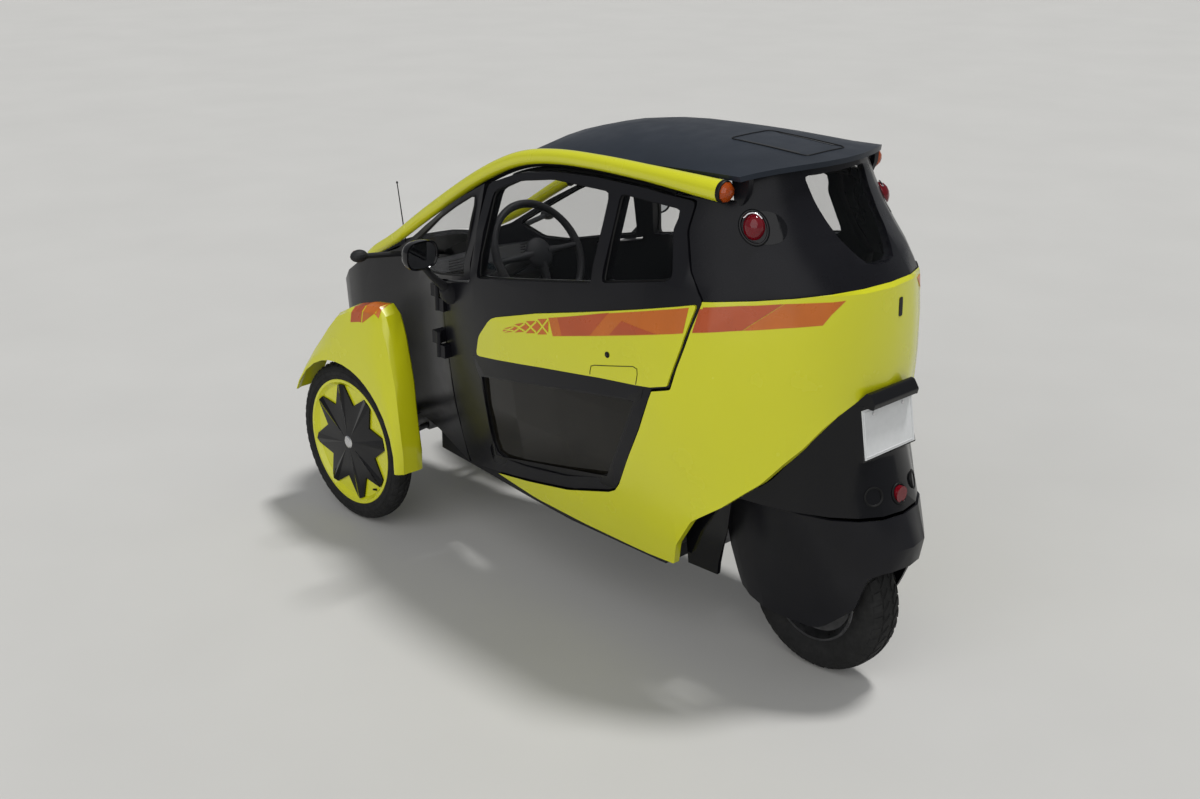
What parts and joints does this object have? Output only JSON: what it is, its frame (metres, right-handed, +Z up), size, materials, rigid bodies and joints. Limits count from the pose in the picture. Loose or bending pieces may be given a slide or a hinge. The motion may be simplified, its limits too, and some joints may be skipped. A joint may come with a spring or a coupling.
{
  "type": "three wheeled tandem city car",
  "caption": "Narrow enclosed three wheeled car with tandem seats, hinged side doors, a steered rear wheel and front wheels under separate fenders.",
  "frame": {"origin": "on the ground under the middle of the car's box", "axes": "+Z up, the car faces -Y, its left side is +X"},
  "size_m": [1.094, 2.345, 1.4563],
  "materials": {
    "yellow_paint": "gloss",
    "dark_panel": "satin",
    "tinted_glass": "polished",
    "tyre_rubber": "matte",
    "dark_steel": "satin",
    "moulded_plastic": "matte",
    "seat_fabric": "matte",
    "amber_lens": "gloss",
    "red_lens": "gloss",
    "clear_lens": "polished",
    "plate_white": "satin"
  },
  "bodies": {
    "root": {"battery": "dark_steel", "dashboard": "moulded_plastic", "driver_seat": "seat_fabric", "floor_tub": "moulded_plastic", "front_fender_left": "yellow_paint", "front_fender_right": "yellow_paint", "front_suspension": "dark_steel", "headlamp_left": "clear_lens", "headlamp_right": "clear_lens", "indicator_left": "dark_panel", "indicator_right": "dark_panel", "knuckle_left": "dark_steel", "knuckle_right": "dark_steel", "nose_shell": "dark_panel", "number_plate": "plate_white", "quarter_glass_left": "tinted_glass", "quarter_glass_right": "tinted_glass", "rail_lamp_left": "amber_lens", "rail_lamp_right": "amber_lens", "rear_fairing": "dark_panel", "rear_glass": "tinted_glass", "rear_reflector": "red_lens", "rear_seat": "seat_fabric", "rear_subframe": "dark_steel", "rear_upper_shell": "dark_panel", "roof_panel": "dark_panel", "roof_rail_left": "yellow_paint", "roof_rail_right": "yellow_paint", "tail_lamp_left": "red_lens", "tail_lamp_right": "red_lens", "tail_shell": "yellow_paint", "windscreen": "tinted_glass"},
    "front_left_wheel": {"front_tyre_left": "tyre_rubber", "front_wheel_left": "yellow_paint"},
    "front_right_wheel": {"front_tyre_right": "tyre_rubber", "front_wheel_right": "yellow_paint"},
    "rear_steer": {"rear_fork": "dark_steel", "rear_wheel_cover": "dark_panel"},
    "rear_wheel": {"rear_tyre": "tyre_rubber", "rear_wheel": "dark_steel"},
    "left_door": {"door_left": "dark_panel", "door_band_left": "yellow_paint", "mirror_left": "dark_panel", "door_glass_front_left": "tinted_glass", "door_glass_rear_left": "tinted_glass", "door_glass_lower_left": "tinted_glass"},
    "right_door": {"door_right": "dark_panel", "door_band_right": "yellow_paint", "mirror_right": "dark_panel", "door_glass_front_right": "tinted_glass", "door_glass_rear_right": "tinted_glass", "door_glass_lower_right": "tinted_glass"},
    "steering": {"steering_wheel": "moulded_plastic"}
  },
  "joints": [
    {"name": "front_left_wheel_spin", "type": "hinge", "parent": "root", "child": "front_left_wheel", "pos_m": [0.37, -0.812, 0.275], "axis": [1, 0, 0], "continuous": true},
    {"name": "front_right_wheel_spin", "type": "hinge", "parent": "root", "child": "front_right_wheel", "pos_m": [-0.37, -0.812, 0.275], "axis": [1, 0, 0], "continuous": true},
    {"name": "rear_steer_turn", "type": "hinge", "parent": "root", "child": "rear_steer", "pos_m": [0, 0.858, 0.5], "axis": [0, 0, 1], "range_deg": [-30, 30]},
    {"name": "rear_wheel_spin", "type": "hinge", "parent": "rear_steer", "child": "rear_wheel", "pos_m": [0, 0.888, 0.235], "axis": [1, 0, 0], "continuous": true},
    {"name": "left_door_hinge", "type": "hinge", "parent": "root", "child": "left_door", "pos_m": [0.354, -0.365, 0.72], "axis": [0, 0, -1], "range_deg": [0, 65]},
    {"name": "right_door_hinge", "type": "hinge", "parent": "root", "child": "right_door", "pos_m": [-0.354, -0.365, 0.72], "axis": [0, 0, 1], "range_deg": [0, 65]},
    {"name": "steering_turn", "type": "hinge", "parent": "root", "child": "steering", "pos_m": [0, -0.3, 0.955], "axis": [0, 0.8601, 0.5101], "range_deg": [-270, 270]}
  ],
  "couplings": [
    {"joint": "rear_steer_turn", "follows": "steering_turn", "ratio": 0.11111}
  ]
}
